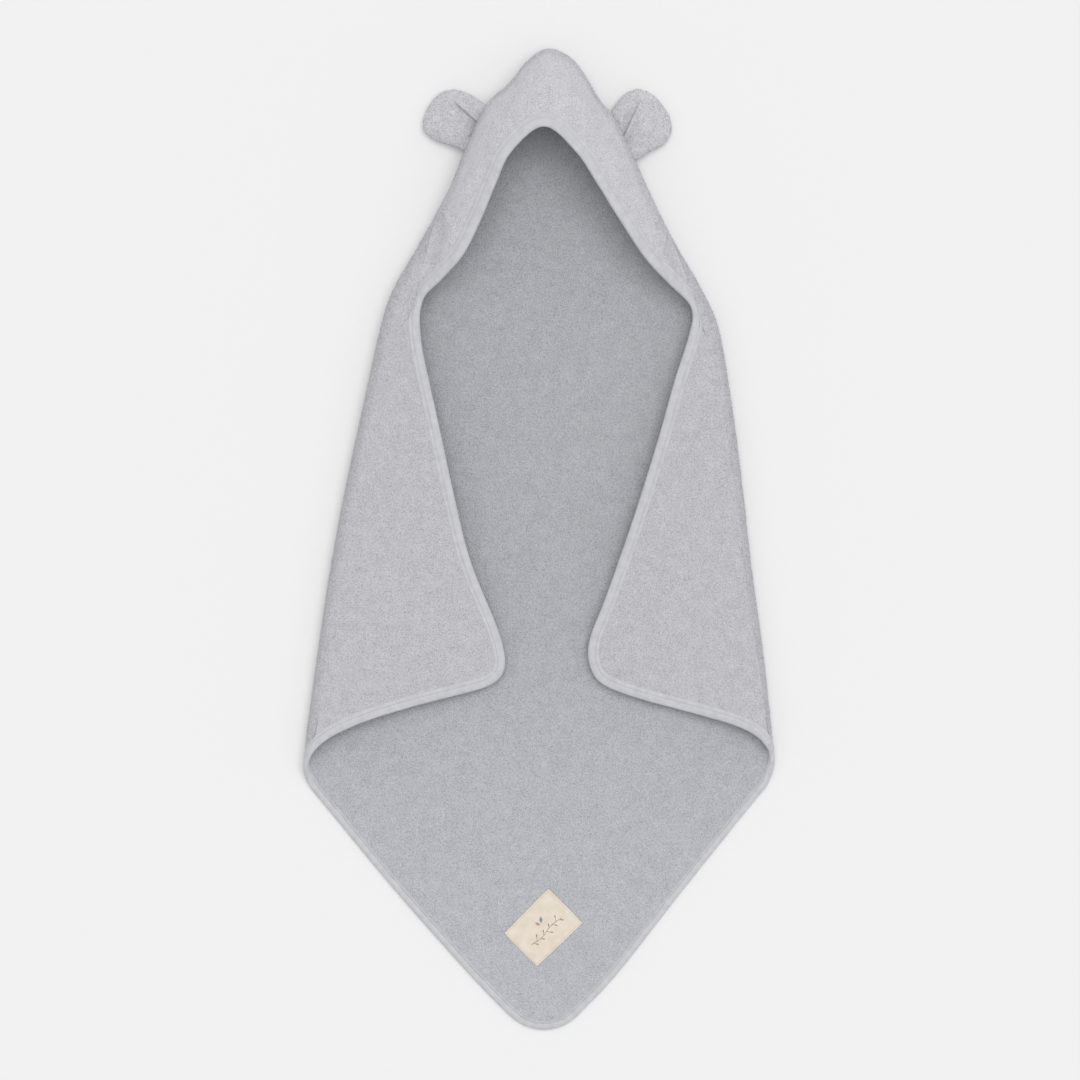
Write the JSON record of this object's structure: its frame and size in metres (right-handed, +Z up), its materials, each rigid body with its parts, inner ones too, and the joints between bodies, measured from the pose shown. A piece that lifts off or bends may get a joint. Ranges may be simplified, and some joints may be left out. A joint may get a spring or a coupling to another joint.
{
  "type": "hooded baby towel",
  "caption": "Square terry baby towel with a sewn corner hood, round ears and bound edges, laid on its back with both side wings folded in.",
  "frame": {"origin": "centre of the towel's box at the surface it lies on", "axes": "+X across to the right wing, +Y along towards the hood, +Z up, out of the open wings"},
  "size_m": [0.4899, 1.0188, 0.0845],
  "materials": {
    "terry_outside": "soft cotton terry loops, matt",
    "terry_inside": "soft cotton terry loops, matt",
    "binding_tape": "smooth knitted binding tape, matt",
    "label_cotton": "plain woven cotton label"
  },
  "bodies": {
    "towel_body": {"back_panel": "terry_inside", "left_side": "terry_outside", "right_side": "terry_outside", "lower_binding": "binding_tape", "woven_label": "label_cotton"},
    "left_wing": {"left_flap": "terry_outside", "left_flap_binding": "binding_tape"},
    "right_wing": {"right_flap": "terry_outside", "right_flap_binding": "binding_tape"},
    "hood": {"hood_panel": "terry_outside", "hood_binding": "binding_tape"},
    "left_ear": {"left_ear_front": "terry_outside", "left_ear_back": "terry_outside"},
    "right_ear": {"right_ear_front": "terry_outside", "right_ear_back": "terry_outside"}
  },
  "joints": [
    {"name": "left_wing_fold", "type": "hinge", "parent": "towel_body", "child": "left_wing", "pos_m": [-0.14847, 0.21297, 0.031], "axis": [-0.1985, -0.9799, -0.0183], "range_deg": [0, 152]},
    {"name": "right_wing_fold", "type": "hinge", "parent": "towel_body", "child": "right_wing", "pos_m": [0.17395, 0.20788, 0.0245], "axis": [-0.1521, 0.9883, 0.0105], "range_deg": [0, 156]},
    {"name": "hood_lift", "type": "hinge", "parent": "towel_body", "child": "hood", "pos_m": [0.004, 0.5095, 0.0105], "axis": [-1, 0, 0], "range_deg": [0, 18]},
    {"name": "left_ear_bend", "type": "hinge", "parent": "towel_body", "child": "left_ear", "pos_m": [-0.06977, 0.4293, 0.01374], "axis": [0.4248, 0.9053, 0], "range_deg": [0, 36]},
    {"name": "right_ear_bend", "type": "hinge", "parent": "towel_body", "child": "right_ear", "pos_m": [0.09121, 0.4194, 0.01088], "axis": [0.4308, -0.9024, 0], "range_deg": [0, 36]}
  ]
}
